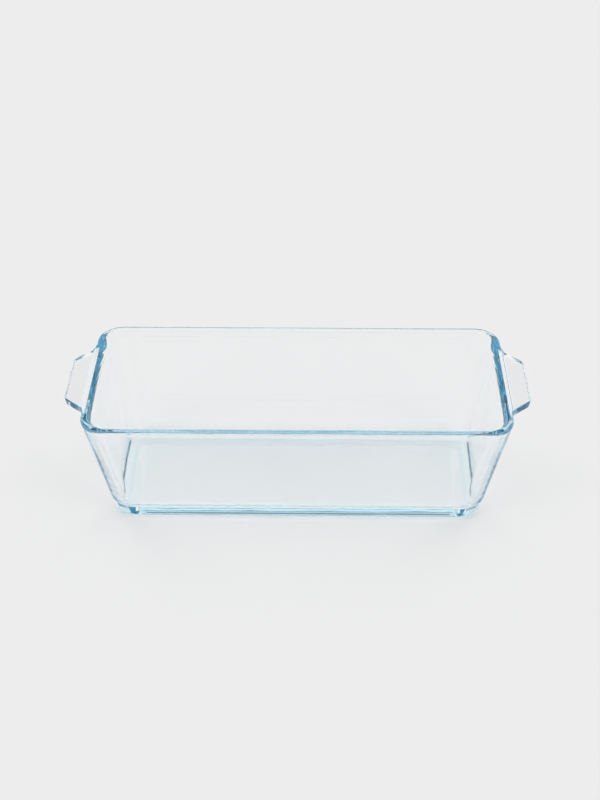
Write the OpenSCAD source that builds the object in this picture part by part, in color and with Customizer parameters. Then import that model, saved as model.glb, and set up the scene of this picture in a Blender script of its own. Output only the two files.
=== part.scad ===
// Loaf pan in clear pressed borosilicate glass: a deep trough with four drafted walls, rounded
// corners, a thick floor on a raised foot ring, a flat-topped rim that stands proud of the walls as
// a low collar, and a carrying lug at each end.
//
// The mould makes the whole pan from one gob of glass in one stroke, so it is one closed solid.
// Its regions are written apart, as lists of rings: foot, rim with lugs, and inside. A ring runs
// once round the pan as a rounded rectangle. Joining the rings in order, from under the floor,
// out, up the wall, over the rim and back down to the floor, gives the surface.
//
// Origin: centre of the foot, on the table. +X runs along the pan, +Z is up. Millimetres.

/* [Overall] */
// Length over the two lugs
overall_l = 280; // [276:1:288]
// Outer length of the pan at the rim, without the lugs
rim_l = 254.4; // [248:0.1:257]
// Outer width at the rim
rim_w = 108.4; // [102:0.1:118]
// Height from the table to the top of the rim
height = 78.8; // [70:0.1:90]

/* [Walls] */
// Lean of all four walls, outwards from the vertical, in degrees
draft = 9.2; // [6:0.1:11]
// Wall thickness, measured level
wall_t = 4.6; // [4:0.1:5.5]
// Radius of the four upright corners, outside
corner_r = 14.6; // [13.6:0.1:16]
// Extra thickness of the two end walls
end_gain = 1; // [0:0.1:2]

/* [Rim] */
// How far the rim stands proud of the wall, as a collar
collar = 0.4; // [0.2:0.1:0.6]
// Depth of the collar below the top of the rim
collar_h = 2.8; // [2.2:0.1:3.2]
// Radius of the rim's outer edge
rim_r = 0.9; // [0.6:0.1:1.4]
// Radius of the rim's inner edge
rim_inner_r = 2.4; // [0.8:0.1:2.6]

/* [Floor] */
// Thickness of the floor, from the table to the inside
floor_t = 6.4; // [5:0.1:7]
// Radius between wall and foot, outside
foot_r = 5.8; // [5:0.1:8]
// Radius between wall and floor, inside
inner_r = 7; // [5:0.5:7.5]
// Width of the flat foot ring that the pan stands on
ring_w = 3.4; // [2:0.1:5]
// Rise of the underside within the foot ring
kick = 0.45; // [0.3:0.05:1]
// Width over which the underside rises
kick_w = 8; // [6:1:14]

/* [Lugs] */
// Drop of a lug's upper face below the top of the rim
lug_drop = 1; // [0.5:0.1:1.5]
// Thickness of a lug
lug_t = 5.3; // [4:0.1:5.6]
// Radius of a lug's edges, seen from the side
lug_r = 0.7; // [0.5:0.1:1.6]
// Width of the low ridge between the rim and a lug's upper face
ridge_w = 1.8; // [1:0.1:2.4]
// Length of the straight outer edge of a lug
lug_edge = 35; // [24:1:36]
// Radius of a lug's two outer corners, from above
lug_tip_r = 5; // [3:0.5:6]
// Radius where a lug's shoulders run into the rim, from above
lug_root_r = 13; // [10:0.5:14]
// Slope of a lug's shoulders against its outer edge, in degrees
shoulder = 50; // [48:1:62]

/* [Hidden] */

// Steps round one upright corner, along one lug shoulder, over a fillet and over a small edge
corner_steps = 8;
shoulder_steps = 9;
fillet_steps = 6;
edge_steps = 3;

// The walls lean from the lower edge of the rim's collar down
function lean(z) = max(0, height - collar_h - z) * tan(draft);

// A share from 0 to 1, eased in and out, and held at 0 and 1 beyond
function smooth(s) = (1 - cos(180 * min(1, max(0, s)))) / 2;

// How far a lug reaches past the end wall, and where its outline changes from arc to slope to arc
reach = (overall_l - rim_l) / 2 + collar;
tip_y = lug_edge / 2;
slope_l = (reach - (lug_tip_r + lug_root_r) * (1 - cos(shoulder))) / sin(shoulder);
slope_y = tip_y + lug_tip_r * sin(shoulder);
root_y = slope_y + slope_l * cos(shoulder);
wall_y = root_y + lug_root_r * sin(shoulder);

// How far the edge of the lug stands out at a distance y from the middle of the end wall
function reach_at(y) =
    y <= tip_y ? reach
    : y <= slope_y ? reach - lug_tip_r + sqrt(lug_tip_r ^ 2 - (y - tip_y) ^ 2)
    : y <= root_y ? reach - lug_tip_r * (1 - cos(shoulder)) - (y - slope_y) * tan(shoulder)
    : y < wall_y ? lug_root_r - sqrt(lug_root_r ^ 2 - (wall_y - y) ^ 2)
    : 0;

// A place on the section is [inset, z, lug inset, carry]: the level inset from the wall's outer
// face, the height, the same inset at a lug, and the share of the lug's reach that carries the
// place outwards there. Away from the lugs a place is the same as plain(inset, z).
function plain(inset, z) = [inset, z, inset, 0];

// Fillet of radius r between a wall face at level inset t0 and the level z0, from level to wall
function fillet(r, t0, z0) = [
    for (i = [0:fillet_steps])
        let (
            a = i * (90 - draft) / fillet_steps,
            z = z0 + r - r * cos(a),
            centre = lean(z0 + r) + t0 + r / cos(draft)
        )
        plain(centre - r * sin(a) - lean(z), z)
];

// Foot: the raised underside, the flat ring on the table, and the round edge up to the wall
foot_edge = fillet(foot_r, 0, 0);
ring_inset = foot_edge[0][0] + ring_w;
foot = concat(
    [for (s = [1, 0.5, 0]) plain(ring_inset + kick_w * s, kick * smooth(s))],
    foot_edge
);

// Outer face of the rim away from the lugs: a small cove, the collar and the rounded edge
cove = 0.6;
function rim_inset(z) =
    let (rise = max(0, z - height + rim_r))
    rim_r - sqrt(rim_r ^ 2 - rise ^ 2) - collar * smooth((z - height + collar_h) / cove);

// Rim: out under the lug, round its edge, back over its upper face, and up the low ridge
lug_low = height - lug_drop - lug_t;
lug_high = height - lug_drop;
under_r = 1.4;
rim = concat(
    [for (a = [0:90 / edge_steps:90])
        let (z = lug_low - under_r * (1 - sin(a)))
        [rim_inset(z), z, -under_r * (1 - cos(a)), 0]],
    [for (a = [-90:90 / edge_steps:0])
        let (z = lug_low + lug_r * (1 + sin(a)))
        [rim_inset(z), z, lug_r * (1 - cos(a)), 1]],
    [for (a = [0:90 / edge_steps:90])
        let (z = lug_high - lug_r * (1 - sin(a)))
        [rim_inset(z), z, lug_r * (1 - cos(a)), 1]],
    [for (s = [0, 0.35, 0.65, 1])
        let (z = lug_high + lug_drop * smooth(s))
        [rim_inset(z), z, ridge_w * (s - 1), 0]]
);

// Inside: over the flat top of the rim, down the inner wall, and round to the floor
inner_edge = fillet(inner_r, wall_t, floor_t);
inside = concat(
    [for (a = [0:90 / edge_steps:90])
        plain(wall_t - rim_inner_r * (1 - sin(a)), height - rim_inner_r * (1 - cos(a)))],
    [for (i = [fillet_steps:-1:0]) inner_edge[i]]
);

section = concat(foot, rim, inside);

// Half length, half width and corner radius of the ring through a place
function gain(p) = end_gain * min(1, max(0, p[0] / wall_t));
function half_l(p) = rim_l / 2 - collar - lean(p[1]) - p[0] - gain(p);
function half_w(p) = rim_w / 2 - collar - lean(p[1]) - p[0];
function radius(p) = max(corner_r - p[0], 1);

// Points round one +X corner; side is -1 or 1 for the corner towards -Y or +Y
function corner(p, side) = [
    for (i = [0:corner_steps])
        let (r = radius(p), a = (side < 0 ? -90 : 0) + i * 90 / corner_steps)
        [half_l(p) - r + r * cos(a), side * (half_w(p) - r) + r * sin(a), p[1]]
];

// Point on the +X end at a distance y from its middle, where the lug grows out of the rim
growth = 4;
function end_point(p, y) =
    let (
        out = reach_at(abs(y)),
        share = min(1, out / growth),
        swell = share * (p[0] - p[2]) + p[3] * out
    )
    [half_l(p) + swell, y * (half_w(p) - radius(p)) / (rim_w / 2 - collar - corner_r), p[1]];

shoulder_y = [for (i = [0:shoulder_steps]) tip_y + i * (wall_y - tip_y) / shoulder_steps];
end_y = concat([for (i = [shoulder_steps:-1:0]) -shoulder_y[i]], shoulder_y);
function half_ring(p) = concat(corner(p, -1), [for (y = end_y) end_point(p, y)], corner(p, 1));
function ring(p) = let (half = half_ring(p)) concat(half, [for (q = half) [-q[0], -q[1], q[2]]]);

// A closed surface through rings that all have the same number of points
module loft(rings) {
    n = len(rings[0]);
    last = (len(rings) - 1) * n;
    bands = [for (k = [0:len(rings) - 2], i = [0:n - 1], lower = [0, 1])
        let (a = k * n + i, b = k * n + (i + 1) % n)
        lower == 0 ? [a, a + n, b + n] : [a, b + n, b]];
    caps = [[for (i = [0:n - 1]) i], [for (i = [n - 1:-1:0]) last + i]];
    polyhedron(points = [for (points = rings) each points], faces = concat(bands, caps));
}

// The whole pressed piece
module glass_dish() {
    color([0.82, 0.92, 0.94, 0.45]) loft([for (p = section) ring(p)]);
}

glass_dish();
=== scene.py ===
"""A loaf pan in clear pressed borosilicate glass, on a pale studio sweep."""

import logging
import math
from collections.abc import Iterator
from dataclasses import dataclass, field
from typing import NamedTuple

import bpy
from mathutils import Matrix, Vector, noise


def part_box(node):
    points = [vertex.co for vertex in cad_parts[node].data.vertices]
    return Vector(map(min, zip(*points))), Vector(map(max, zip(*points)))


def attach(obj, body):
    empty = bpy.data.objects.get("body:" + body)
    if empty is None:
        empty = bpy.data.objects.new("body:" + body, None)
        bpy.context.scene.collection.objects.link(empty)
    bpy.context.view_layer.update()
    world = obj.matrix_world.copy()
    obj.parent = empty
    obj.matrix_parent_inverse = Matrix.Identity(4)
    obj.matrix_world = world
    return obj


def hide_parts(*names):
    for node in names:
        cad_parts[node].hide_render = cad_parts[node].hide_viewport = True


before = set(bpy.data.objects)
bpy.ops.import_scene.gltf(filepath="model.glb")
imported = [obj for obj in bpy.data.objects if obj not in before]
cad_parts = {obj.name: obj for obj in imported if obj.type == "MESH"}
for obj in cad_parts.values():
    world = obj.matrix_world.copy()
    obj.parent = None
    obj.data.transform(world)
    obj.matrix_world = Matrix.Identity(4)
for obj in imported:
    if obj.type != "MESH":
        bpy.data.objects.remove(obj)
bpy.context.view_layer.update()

MM = 0.001

# Sockets of a colour Mix node, whose names are not unique: share, first, second and result
MIX_SHARE, MIX_FIRST, MIX_SECOND, MIX_RESULT = 0, 6, 7, 2

# Turns that light may take inside the glass, and between the glass and the paper
GLASS_BOUNCES = 40
PAPER_BOUNCES = 6

log = logging.getLogger("loaf_pan")


def linear(hex_colour: str) -> tuple[float, float, float, float]:
    """Turn an sRGB colour into the linear one that shaders work with.

    Args:
        hex_colour: The colour as "#rrggbb".

    Returns:
        Linear red, green, blue and an alpha of 1.
    """
    parts = [int(hex_colour[i : i + 2], 16) / 255 for i in (1, 3, 5)]
    red, green, blue = (c / 12.92 if c <= 0.04045 else ((c + 0.055) / 1.055) ** 2.4 for c in parts)
    return red, green, blue, 1.0


def grey(level: float) -> tuple[float, float, float, float]:
    """A linear neutral colour of a given brightness."""
    return level, level, level, 1.0


def add_node(
    tree: bpy.types.NodeTree,
    kind: str,
    settings: dict[str, object] | None = None,
    inputs: dict[str | int, object] | None = None,
    links: dict[str | int, bpy.types.NodeSocket] | None = None,
) -> bpy.types.Node:
    """Add one shader node with its settings, socket values and incoming links.

    Args:
        tree: The node tree that the node joins.
        kind: The node's type, such as "ShaderNodeBump".
        settings: Values for the node's own properties.
        inputs: Values for its input sockets.
        links: Output sockets of other nodes, by the input that each feeds.

    Returns:
        The new node.
    """
    node = tree.nodes.new(kind)
    for name, value in (settings or {}).items():
        setattr(node, name, value)
    for name, value in (inputs or {}).items():
        node.inputs[name].default_value = value
    for name, socket in (links or {}).items():
        tree.links.new(socket, node.inputs[name])
    return node


@dataclass(frozen=True)
class PressedBorosilicate:
    """Borosilicate glass, pressed hot in a polished iron mould and then fire-polished.

    The eye gets clean, bright reflections and a clear view through a single wall. A trace of iron
    absorbs red, so long paths along a wall, the rim or the floor come out blue-green while the
    flat faces stay almost colourless. The mould's chill leaves the faces very slightly wavy.
    """

    name: str = "pressed_borosilicate_glass"
    ior: float = 1.473
    roughness: float = 0.0
    # Per metre, a colour is absorbed by the density times what it lacks of white
    absorption_colour: str = "#76d6ee"
    absorption_density: float = 5.1
    # Chill marks: shallow dimples a few millimetres wide
    dimple_width: float = 9 * MM
    dimple_depth: float = 0.02 * MM

    def material(self) -> bpy.types.Material:
        """Build the glass.

        Returns:
            The material, with its surface and the absorption of its volume.
        """
        material = bpy.data.materials.new(self.name)
        material.use_nodes = True
        tree = material.node_tree
        tree.nodes.clear()
        place = add_node(tree, "ShaderNodeTexCoord")
        dimples = add_node(
            tree,
            "ShaderNodeTexNoise",
            inputs={"Scale": 1 / self.dimple_width, "Detail": 1.0, "Roughness": 0.4},
            links={"Vector": place.outputs["Object"]},
        )
        relief = add_node(
            tree,
            "ShaderNodeBump",
            inputs={"Strength": 1.0, "Distance": self.dimple_depth},
            links={"Height": dimples.outputs["Fac"]},
        )
        surface = add_node(
            tree,
            "ShaderNodeBsdfPrincipled",
            inputs={
                "Base Color": (1.0, 1.0, 1.0, 1.0),
                "Roughness": self.roughness,
                "IOR": self.ior,
                "Transmission Weight": 1.0,
            },
            links={"Normal": relief.outputs["Normal"]},
        )
        depth = add_node(
            tree,
            "ShaderNodeVolumeAbsorption",
            inputs={
                "Color": linear(self.absorption_colour),
                "Density": self.absorption_density,
            },
        )
        add_node(
            tree,
            "ShaderNodeOutputMaterial",
            links={"Surface": surface.outputs["BSDF"], "Volume": depth.outputs["Volume"]},
        )
        return material


@dataclass(frozen=True)
class MattPaper:
    """Coated studio background paper, rolled smooth: an even, pale, shadow-catching white."""

    name: str = "matt_background_paper"
    colour: str = "#f2f2f2"
    roughness: float = 0.9

    def material(self) -> bpy.types.Material:
        """Build the paper.

        Returns:
            The material.
        """
        material = bpy.data.materials.new(self.name)
        material.use_nodes = True
        tree = material.node_tree
        tree.nodes.clear()
        surface = add_node(
            tree,
            "ShaderNodeBsdfPrincipled",
            inputs={
                "Base Color": linear(self.colour),
                "Roughness": self.roughness,
                "Specular IOR Level": 0.0,
            },
        )
        add_node(tree, "ShaderNodeOutputMaterial", links={"Surface": surface.outputs["BSDF"]})
        return material


class Place(NamedTuple):
    """A place on the section of the pan, both away from a lug and at one.

    Attributes:
        inset: Level distance in from the wall's outer face, away from a lug.
        height: Height above the table.
        lug_inset: The same distance at a lug of full reach, before it is carried outwards.
        carry: Share of the lug's reach that carries the place outwards.
    """

    inset: float
    height: float
    lug_inset: float
    carry: float


def plain(inset: float, height: float) -> Place:
    """A place that is the same at a lug and away from it."""
    return Place(inset, height, inset, 0.0)


def steps(first: float, last: float, count: int) -> list[float]:
    """Even steps from first to last, both included."""
    return [first + (last - first) * i / count for i in range(count + 1)]


def smooth(share: float) -> float:
    """A share from 0 to 1, eased in and out, and held at 0 and 1 beyond."""
    held = min(1.0, max(0.0, share))
    return (1 - math.cos(math.pi * held)) / 2


@dataclass
class GlassDish:
    """The whole pan: floor, foot ring, four walls, rim and two lugs, pressed in one piece.

    A section is carried once round a rounded rectangle. Where the section passes an end, its rim
    swells out into the lug.
    """

    low: Vector
    high: Vector
    finish: PressedBorosilicate = field(default_factory=PressedBorosilicate)

    draft: float = math.radians(9.2)
    wall: float = 4.6 * MM
    corner: float = 14.6 * MM
    # Least radius that a ring's corners shrink to, towards the middle of the floor
    least_corner: float = 1 * MM
    # The two end walls are this much thicker than the side walls
    end_gain: float = 1.0 * MM

    floor: float = 6.4 * MM
    foot_round: float = 5.8 * MM
    inner_round: float = 7 * MM
    ring_width: float = 3.4 * MM
    kick: float = 0.45 * MM
    kick_ramp: float = 8 * MM

    # The rim stands a little proud of the wall, as a low collar under a flat top
    collar: float = 0.4 * MM
    collar_depth: float = 2.8 * MM
    collar_cove: float = 0.6 * MM
    rim_edge: float = 0.9 * MM
    rim_inner_edge: float = 2.4 * MM

    lug_reach: float = 13.2 * MM
    lug_drop: float = 1.0 * MM
    lug_thick: float = 5.3 * MM
    lug_ridge: float = 2.2 * MM
    lug_edge: float = 35 * MM
    lug_edge_round: float = 0.7 * MM
    lug_tip_round: float = 5 * MM
    lug_root_round: float = 13 * MM
    lug_shoulder: float = math.radians(50)
    lug_under_round: float = 1.4 * MM

    # Long, shallow waves that the mould leaves in the faces
    wave_length: float = 28 * MM
    wave_depth: float = 0.1 * MM
    # Shift of the waves, in wave lengths, between a level face and an upright one
    wave_shift: float = 0.5

    # Steps round the pan: along an end, round a corner and along a side
    end_steps: int = 64
    corner_steps: int = 16
    side_steps: int = 40
    # Steps along the section, from the underside to the floor
    kick_steps: int = 8
    fillet_steps: int = 12
    wall_steps: int = 12
    lug_steps: int = 6
    ridge_steps: int = 8
    rim_top_steps: int = 4
    rim_inner_steps: int = 8
    inner_wall_steps: int = 14

    def __post_init__(self) -> None:
        """Work out the outline of the walls at the rim from the frame's box."""
        self.height = self.high.z
        self.half_long = self.high.x - self.lug_reach
        self.half_wide = self.high.y - self.collar

    def lean(self, height: float) -> float:
        """How far the outer face of a wall stands in from its top at a height."""
        return max(0.0, self.height - self.collar_depth - height) * math.tan(self.draft)

    def reach_at(self, across: float) -> float:
        """Say how far a lug stands out of the end wall.

        Args:
            across: Distance from the middle of the end wall.

        Returns:
            The reach there: flat edge, round tip, sloped shoulder, hollow root, or nothing.
        """
        bend = 1 - math.cos(self.lug_shoulder)
        rounds = self.lug_tip_round + self.lug_root_round
        slope = (self.lug_reach - rounds * bend) / math.tan(self.lug_shoulder)
        tip = self.lug_edge / 2
        shoulder = tip + self.lug_tip_round * math.sin(self.lug_shoulder)
        root = shoulder + slope
        wall = root + self.lug_root_round * math.sin(self.lug_shoulder)
        if across <= tip:
            return self.lug_reach
        if across <= shoulder:
            rise = math.sqrt(self.lug_tip_round**2 - (across - tip) ** 2)
            return self.lug_reach - self.lug_tip_round + rise
        if across <= root:
            fall = (across - shoulder) * math.tan(self.lug_shoulder)
            return self.lug_reach - self.lug_tip_round * bend - fall
        if across < wall:
            return self.lug_root_round - math.sqrt(self.lug_root_round**2 - (wall - across) ** 2)
        return 0.0

    def fillet(self, radius: float, face: float, level: float) -> list[Place]:
        """Round off the angle between a level and a wall.

        Args:
            radius: Radius of the round.
            face: Level inset of the wall's face from its outer face.
            level: Height of the level.

        Returns:
            Places from the level to the wall.
        """
        centre = self.lean(level + radius) + face + radius / math.cos(self.draft)
        places = []
        for angle in steps(0, math.pi / 2 - self.draft, self.fillet_steps):
            height = level + radius * (1 - math.cos(angle))
            inset = centre - radius * math.sin(angle) - self.lean(height)
            places.append(plain(inset, height))
        return places

    def foot_section(self) -> list[Place]:
        """The raised underside, the flat ring on the table and the round edge up to the wall."""
        edge = self.fillet(self.foot_round, 0.0, 0.0)
        ring = edge[0].inset + self.ring_width
        ramp = [
            plain(ring + self.kick_ramp * share, self.kick * smooth(share))
            for share in steps(1, 0, self.kick_steps)
        ]
        return ramp + edge

    def wall_section(self) -> list[Place]:
        """The outer face of the wall, up to where a lug begins."""
        low = self.foot_round
        high = self.lug_under() - self.lug_under_round
        return [plain(0.0, height) for height in steps(low, high, self.wall_steps)[1:-1]]

    def lug_under(self) -> float:
        """Height of a lug's underside."""
        return self.height - self.lug_drop - self.lug_thick

    def rim_inset(self, height: float) -> float:
        """Level inset of the plain rim's outer face at a height: cove, collar and rounded edge."""
        cove = smooth((height - self.height + self.collar_depth) / self.collar_cove)
        rise = max(0.0, height - (self.height - self.rim_edge))
        fall = self.rim_edge - math.sqrt(max(0.0, self.rim_edge**2 - rise**2))
        return fall - self.collar * cove

    def rim_place(self, height: float, lug_inset: float, carry: float) -> Place:
        """A place on the outer face of the rim and, where there is a lug, on the lug."""
        return Place(self.rim_inset(height), height, lug_inset, carry)

    def rim_section(self) -> list[Place]:
        """The rim from under the lug to the outer edge of its flat top."""
        hollow = self.lug_under_round
        low = self.lug_under()
        high = self.height - self.lug_drop
        edge = self.lug_edge_round
        places = []
        for angle in steps(0, math.pi / 2, self.lug_steps):
            height = low - hollow * (1 - math.sin(angle))
            places.append(self.rim_place(height, -hollow * (1 - math.cos(angle)), 0.0))
        for angle in steps(-math.pi / 2, 0, self.lug_steps):
            height = low + edge * (1 + math.sin(angle))
            places.append(self.rim_place(height, edge * (1 - math.cos(angle)), 1.0))
        for height in steps(low + edge, high - edge, self.lug_steps)[1:-1]:
            places.append(self.rim_place(height, 0.0, 1.0))
        for angle in steps(0, math.pi / 2, self.lug_steps):
            height = high - edge * (1 - math.sin(angle))
            places.append(self.rim_place(height, edge * (1 - math.cos(angle)), 1.0))
        for share in steps(0, 1, self.ridge_steps):
            height = high + self.lug_drop * smooth(share)
            places.append(self.rim_place(height, self.lug_ridge * (share - 1), 0.0))
        return places

    def inside_section(self) -> list[Place]:
        """Over the flat top, down the inner wall and round to the floor."""
        bend = self.rim_inner_edge
        outer = self.rim_inset(self.height)
        level = steps(outer, self.wall - bend, self.rim_top_steps)[1:-1]
        over = [plain(inset, self.height) for inset in level]
        for angle in steps(0, math.pi / 2, self.rim_inner_steps):
            inset = self.wall - bend * (1 - math.sin(angle))
            over.append(plain(inset, self.height - bend * (1 - math.cos(angle))))
        edge = self.fillet(self.inner_round, self.wall, self.floor)[::-1]
        heights = steps(over[-1].height, edge[0].height, self.inner_wall_steps)[1:-1]
        down = [plain(self.wall, height) for height in heights]
        return over + down + edge

    def ring(self, place: Place) -> list[Vector]:
        """Carry one place of the section round the pan.

        Args:
            place: The place.

        Returns:
            Points from the middle of the +X end, anticlockwise seen from above.
        """
        quarter = list(self.quarter(place))
        left = [Vector((-p.x, p.y, p.z)) for p in reversed(quarter[:-1])]
        half = quarter + left
        return half + [Vector((p.x, -p.y, p.z)) for p in reversed(half[1:-1])]

    def quarter(self, place: Place) -> Iterator[Vector]:
        """Points of one ring in the quarter towards +X and +Y.

        Args:
            place: The place of the section.

        Yields:
            Points from the middle of the end to the middle of the long side.
        """
        lean = self.lean(place.height)
        gain = self.end_gain * min(1.0, max(0.0, place.inset / self.wall))
        long = self.half_long - lean - place.inset - gain
        wide = self.half_wide - lean - place.inset
        radius = max(self.corner - place.inset, self.least_corner)
        full_end = self.half_wide - self.corner
        for across in steps(0, full_end, self.end_steps // 2):
            out = self.reach_at(across)
            share = math.tanh(out / self.lug_under_round)
            swell = share * (place.inset - place.lug_inset) + place.carry * out
            yield Vector((long + swell, across / full_end * (wide - radius), place.height))
        for angle in steps(0, math.pi / 2, self.corner_steps)[1:]:
            x = long - radius + radius * math.cos(angle)
            y = wide - radius + radius * math.sin(angle)
            yield Vector((x, y, place.height))
        for along in steps(long - radius, 0, self.side_steps // 2)[1:]:
            yield Vector((along, wide, place.height))

    def mesh(self) -> bpy.types.Mesh:
        """Join the rings of the whole section into one closed surface.

        Returns:
            The mesh, smooth-shaded, with the mould's waves in its faces.
        """
        section = self.foot_section() + self.wall_section()
        section += self.rim_section() + self.inside_section()
        rings = [self.ring(place) for place in section]
        count = len(rings[0])
        faces = [
            (a + i, a + (i + 1) % count, b + (i + 1) % count, b + i)
            for a, b in ((k * count, (k + 1) * count) for k in range(len(rings) - 1))
            for i in range(count)
        ]
        points = [point for ring in rings for point in ring]
        faces += [tuple(reversed(face)) for face in self.cap(points, 0, count)]
        faces += self.cap(points, (len(rings) - 1) * count, count)
        mesh = bpy.data.meshes.new("glass_dish")
        mesh.from_pydata(points, [], faces)
        mesh.validate()
        mesh.shade_smooth()
        self.wave(mesh)
        return mesh

    def cap(self, points: list[Vector], start: int, count: int) -> list[tuple[int, ...]]:
        """Fill a ring with a grid that blends its four sides, split at the middle of each corner.

        Args:
            points: All points so far; the grid's inner points are added to them.
            start: Number of the ring's first point, the middle of the +X end.
            count: Points in the ring.

        Returns:
            Faces that look up.
        """
        turn = (self.end_steps + self.corner_steps) // 2
        across, along = 2 * turn, count // 2 - 2 * turn
        right = [start + (v - turn) % count for v in range(across + 1)]
        left = [start + count // 2 + turn - v for v in range(across + 1)]
        front = [start + (count - turn - u) % count for u in range(along + 1)]
        back = [start + turn + u for u in range(along + 1)]
        grid = [right]
        for u in range(1, along):
            column = [front[u]]
            for v in range(1, across):
                s, t = u / along, v / across
                sides = points[right[v]].lerp(points[left[v]], s)
                ends = points[front[u]].lerp(points[back[u]], t)
                near = points[right[0]].lerp(points[left[0]], s)
                far = points[right[-1]].lerp(points[left[-1]], s)
                column.append(len(points))
                points.append(sides + ends - near.lerp(far, t))
            grid.append(column + [back[u]])
        grid.append(left)
        return [
            (grid[u][v], grid[u][v + 1], grid[u + 1][v + 1], grid[u + 1][v])
            for u in range(along)
            for v in range(across)
        ]

    def wave(self, mesh: bpy.types.Mesh) -> None:
        """Push the faces in and out along their normals by the mould's long waves."""
        normals = [vertex.normal.copy() for vertex in mesh.vertices]
        for vertex, normal in zip(mesh.vertices, normals):
            clear = min(1.0, vertex.co.z / self.floor)
            swell = noise.noise(vertex.co / self.wave_length + normal * self.wave_shift)
            vertex.co += normal * (self.wave_depth * clear * swell)

    def build(self) -> bpy.types.Object:
        """Make the pan and dress it.

        Returns:
            The pan, riding on its body and standing for its node.
        """
        dish = bpy.data.objects.new("pressed_glass_dish", self.mesh())
        bpy.context.scene.collection.objects.link(dish)
        dish.data.materials.append(self.finish.material())
        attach(dish, "root")
        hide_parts("glass_dish")
        return dish


@dataclass(frozen=True)
class FarPanel:
    """A soft-edged light or dark panel, so far off that it is a part of the surroundings.

    Attributes:
        heading: Direction from the pan in degrees, anticlockwise from +X seen from above.
        elevation: Height above the horizon in degrees.
        core: Angle from its middle to where it begins to fade, in degrees.
        reach: Angle from its middle to where it has faded out, in degrees.
        level: Brightness of its core.
    """

    heading: float
    elevation: float
    core: float
    reach: float
    level: float

    def towards(self) -> Vector:
        """Unit vector from the pan to the panel's middle."""
        flat = Vector((math.cos(math.radians(self.elevation)), 0, 0))
        flat.rotate(Matrix.Rotation(math.radians(self.heading), 3, "Z"))
        return flat + Vector((0, 0, math.sin(math.radians(self.elevation))))


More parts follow.
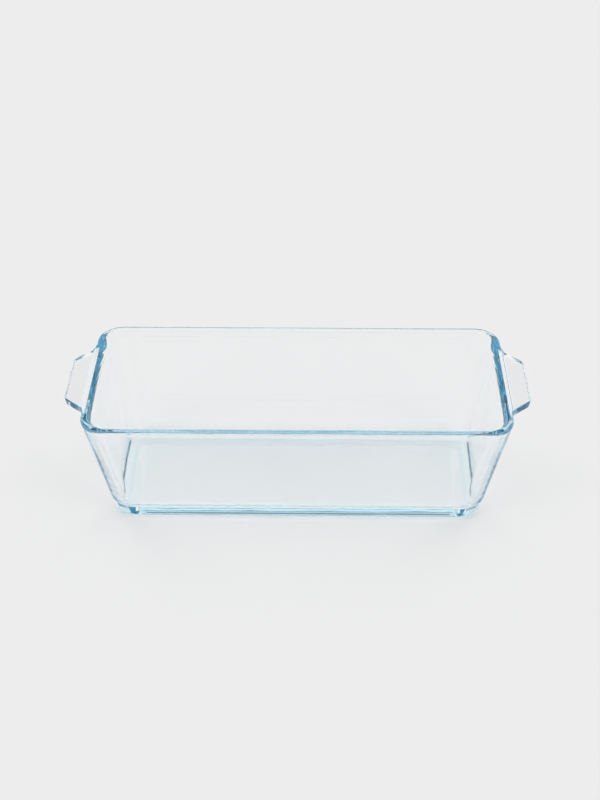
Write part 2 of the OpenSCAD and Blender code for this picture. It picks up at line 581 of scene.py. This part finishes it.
@dataclass
class Studio:
    """A pale paper sweep in a white studio, with a dark room behind the camera."""

    paper: MattPaper = field(default_factory=MattPaper)
    sweep_radius: float = 8.0
    sweep_sides: int = 96
    # Gap between foot and paper, so that the two surfaces never coincide
    floor_gap: float = 0.1 * MM

    surroundings: float = 1.45
    # Light overhead, grey beyond the pan, dark to its two sides and behind the camera, and
    # as pale as the paper all round the horizon
    panels: tuple[FarPanel, ...] = (
        FarPanel(heading=90, elevation=80, core=22, reach=44, level=1.75),
        FarPanel(heading=90, elevation=40, core=12, reach=26, level=0.45),
        FarPanel(heading=0, elevation=38, core=14, reach=24, level=0.15),
        FarPanel(heading=180, elevation=38, core=14, reach=24, level=0.15),
        FarPanel(heading=-90, elevation=42, core=16, reach=36, level=0.1),
        FarPanel(heading=0, elevation=-90, core=100, reach=116, level=0.94),
    )

    elevation: float = math.radians(37.74)
    heading: float = math.radians(0.85)
    roll: float = math.radians(-0.16)
    distance: float = 830.6 * MM
    aim: tuple[float, float, float] = (1.4 * MM, 17.0 * MM, 40 * MM)
    lens: float = 59.5
    film_width: float = 36.0

    def floor(self) -> bpy.types.Object:
        """Lay the paper under the pan."""
        turns = [math.tau * i / self.sweep_sides for i in range(self.sweep_sides)]
        rim = [
            (self.sweep_radius * math.cos(t), self.sweep_radius * math.sin(t), -self.floor_gap)
            for t in turns
        ]
        mesh = bpy.data.meshes.new("paper_sweep")
        mesh.from_pydata(rim, [], [tuple(range(self.sweep_sides))])
        sweep = bpy.data.objects.new("paper_sweep", mesh)
        bpy.context.scene.collection.objects.link(sweep)
        mesh.materials.append(self.paper.material())
        return sweep

    def light(self) -> None:
        """Light the set from the white surroundings, with each panel laid over them in turn."""
        world = bpy.data.worlds.new("white_studio")
        bpy.context.scene.world = world
        world.use_nodes = True
        tree = world.node_tree
        tree.nodes.clear()
        place = add_node(tree, "ShaderNodeTexCoord")
        glow = add_node(tree, "ShaderNodeRGB").outputs["Color"]
        glow.default_value = grey(self.surroundings)
        for panel in self.panels:
            facing = add_node(
                tree,
                "ShaderNodeVectorMath",
                {"operation": "DOT_PRODUCT"},
                {1: panel.towards()},
                {0: place.outputs["Generated"]},
            )
            cover = add_node(
                tree,
                "ShaderNodeMapRange",
                {"interpolation_type": "SMOOTHSTEP"},
                {
                    "From Min": math.cos(math.radians(panel.reach)),
                    "From Max": math.cos(math.radians(panel.core)),
                },
                {"Value": facing.outputs["Value"]},
            )
            glow = add_node(
                tree,
                "ShaderNodeMix",
                {"data_type": "RGBA"},
                {MIX_SECOND: grey(panel.level)},
                {MIX_SHARE: cover.outputs["Result"], MIX_FIRST: glow},
            ).outputs[MIX_RESULT]
        backdrop = add_node(tree, "ShaderNodeBackground", links={"Color": glow})
        add_node(tree, "ShaderNodeOutputWorld", links={"Surface": backdrop.outputs["Background"]})

    def camera(self) -> bpy.types.Object:
        """Set up the camera: a rather long lens that looks down on the pan's long side."""
        ahead = Vector((0, math.cos(self.elevation), -math.sin(self.elevation)))
        up = Vector((0, math.sin(self.elevation), math.cos(self.elevation)))
        right = Vector((1, 0, 0))
        across, lift, height = self.aim
        place = Vector((0, 0, height)) + right * across + up * lift - ahead * self.distance
        tilt_right = right * math.cos(self.roll) + up * math.sin(self.roll)
        tilt_up = up * math.cos(self.roll) - right * math.sin(self.roll)
        axes = Matrix((tilt_right, tilt_up, -ahead)).transposed()
        swing = Matrix.Rotation(self.heading, 4, "Z")
        data = bpy.data.cameras.new("camera")
        data.lens = self.lens
        data.sensor_width = self.film_width
        camera = bpy.data.objects.new("camera", data)
        bpy.context.scene.collection.objects.link(camera)
        camera.matrix_world = swing @ Matrix.Translation(place) @ axes.to_4x4()
        bpy.context.scene.camera = camera
        return camera

    def build(self) -> None:
        """Set the whole studio."""
        self.floor()
        self.light()
        self.camera()


@dataclass(frozen=True)
class HighKeyFilm:
    """A high-key exposure: brightness is kept up to a shoulder, where the pale paper levels off."""

    # Scene brightness and the brightness shown for it; above 1 it runs on in a straight line
    curve: tuple[tuple[float, float], ...] = (
        (0.0, 0.0),
        (0.1, 0.05),
        (0.25, 0.172),
        (0.5, 0.415),
        (0.75, 0.68),
        (0.9, 0.832),
        (0.97, 0.862),
        (1.1, 0.876),
    )

    def develop(self, view: bpy.types.ColorManagedViewSettings) -> None:
        """Lay the curve over the picture.

        Args:
            view: The scene's view settings.
        """
        view.view_transform = "Standard"
        view.look = "None"
        view.use_curve_mapping = True
        mapping = view.curve_mapping
        mapping.use_clip = False
        tone = mapping.curves[3]
        for ends, point in zip((self.curve[0], self.curve[-1]), tone.points):
            point.location = ends
        for brightness, shown in self.curve[1:-1]:
            tone.points.new(brightness, shown)
        for point in tone.points:
            point.handle_type = "AUTO_CLAMPED"
        mapping.update()


def tune_render() -> None:
    """Give light room to bounce inside clear glass, and show its colours as on film."""
    scene = bpy.context.scene
    HighKeyFilm().develop(scene.view_settings)
    cycles = scene.cycles
    cycles.max_bounces = GLASS_BOUNCES
    cycles.transmission_bounces = GLASS_BOUNCES
    cycles.glossy_bounces = GLASS_BOUNCES
    cycles.diffuse_bounces = PAPER_BOUNCES
    cycles.volume_bounces = 0
    cycles.caustics_refractive = True
    cycles.caustics_reflective = True
    # Unblurred caustics keep the light that goes through the pan to the paper under it
    cycles.blur_glossy = 0.0
    cycles.use_denoising = True


def main() -> None:
    """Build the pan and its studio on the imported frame."""
    logging.basicConfig(level=logging.INFO, format="%(name)s: %(message)s")
    low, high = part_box("glass_dish")
    Studio().build()
    dish = GlassDish(Vector(low), Vector(high)).build()
    log.info("%s: %d faces", dish.name, len(dish.data.polygons))
    tune_render()


if __name__ == "__main__":
    main()
